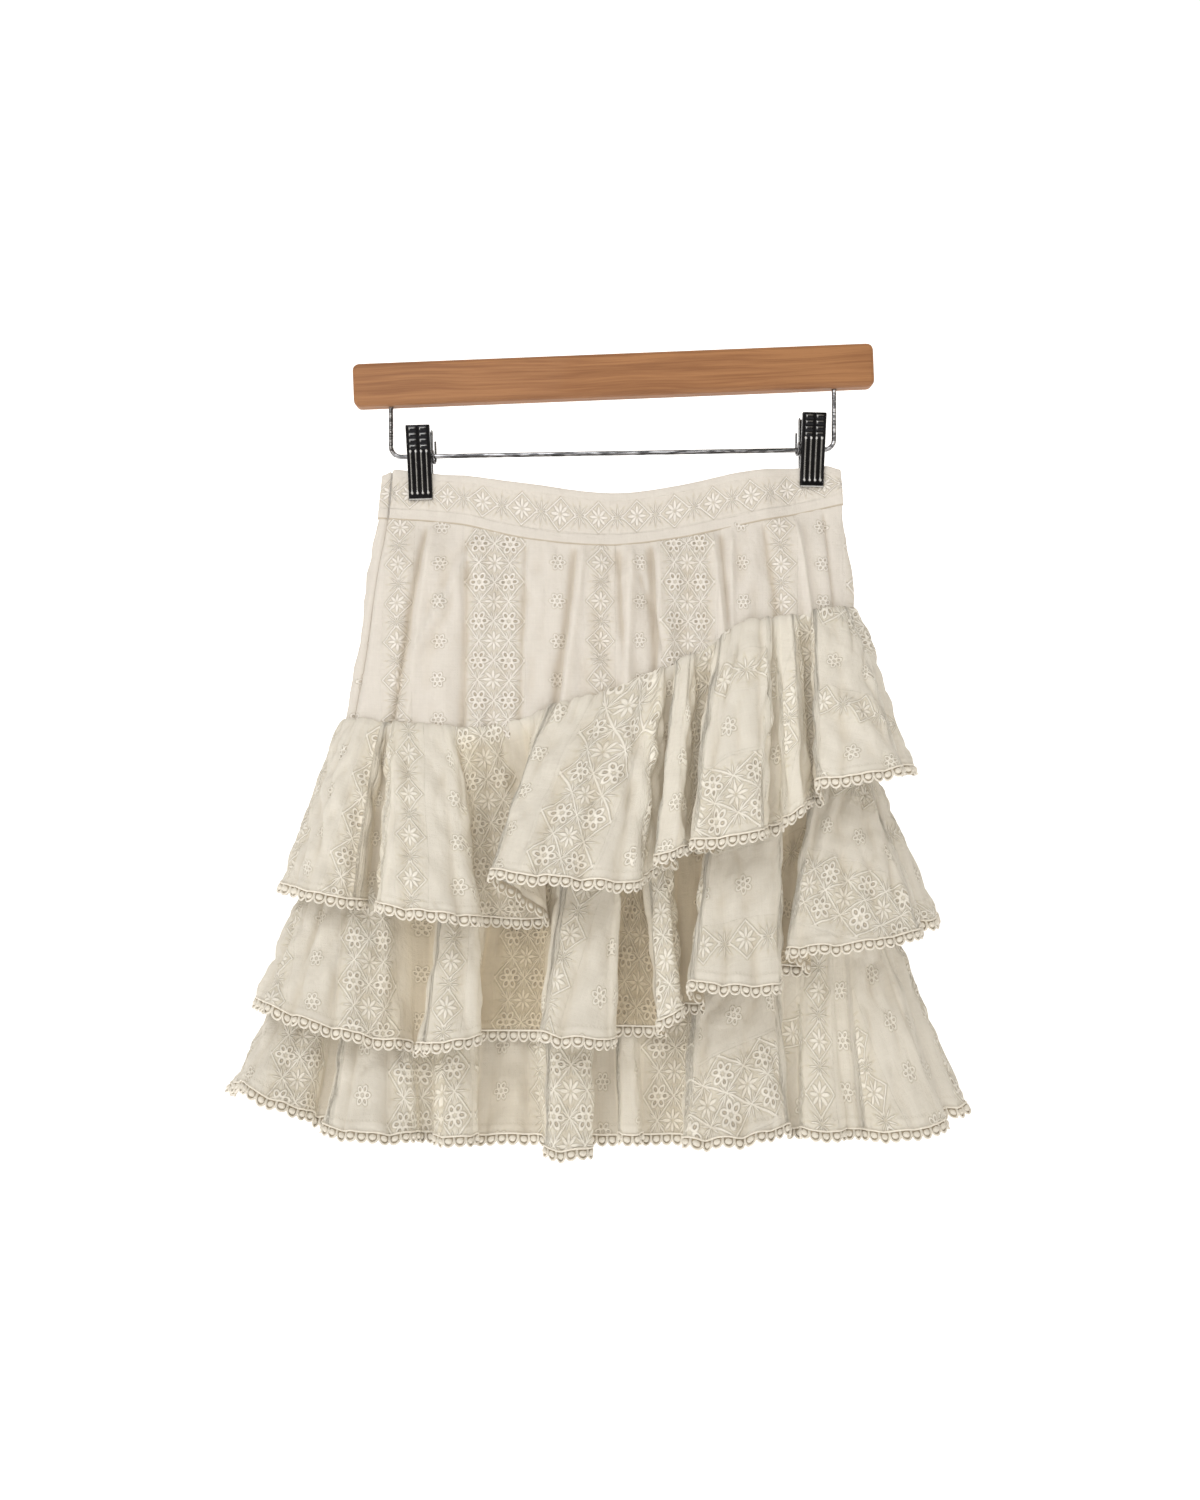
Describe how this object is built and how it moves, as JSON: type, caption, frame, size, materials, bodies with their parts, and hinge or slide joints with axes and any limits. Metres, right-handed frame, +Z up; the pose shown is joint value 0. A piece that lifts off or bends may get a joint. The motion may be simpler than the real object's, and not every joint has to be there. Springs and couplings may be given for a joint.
{
  "type": "tiered ruffle skirt on a clip hanger",
  "caption": "Short gathered cotton skirt with slanted tiered ruffles and bubble lace edging, held flat by clips on a wooden bar hanger.",
  "frame": {"origin": "centre of the hanger bar's top edge, at the mouth of the hook's hole", "axes": "+X to the right of somebody facing the skirt's front, -Y towards them, +Z up, with the skirt hanging plumb"},
  "size_m": [0.5102, 0.1865, 0.54],
  "materials": {
    "cotton": "soft cream cotton voile with eyelet embroidery",
    "lace": "cream bubble lace edging",
    "zip_tape": "cream zip tape",
    "beech": "satin varnished beech",
    "chrome": "polished"
  },
  "bodies": {
    "root": {"waistband_front": "cotton", "waistband_back": "cotton", "underskirt_front": "cotton", "underskirt_back": "cotton", "ruffle_1_front": "cotton", "ruffle_1_back": "cotton", "ruffle_2_front": "cotton", "ruffle_2_back": "cotton", "ruffle_3_front": "cotton", "ruffle_3_back": "cotton", "edging_1_front": "lace", "edging_1_back": "lace", "edging_2_front": "lace", "edging_2_back": "lace", "edging_3_front": "lace", "edging_3_back": "lace", "side_zip": "zip_tape", "hanger_bar": "beech", "hanger_wire": "chrome", "clip_left_front_jaw": "chrome", "clip_left_back_jaw": "chrome", "clip_left_barrel": "chrome", "clip_right_front_jaw": "chrome", "clip_right_back_jaw": "chrome", "clip_right_barrel": "chrome"}
  },
  "joints": []
}
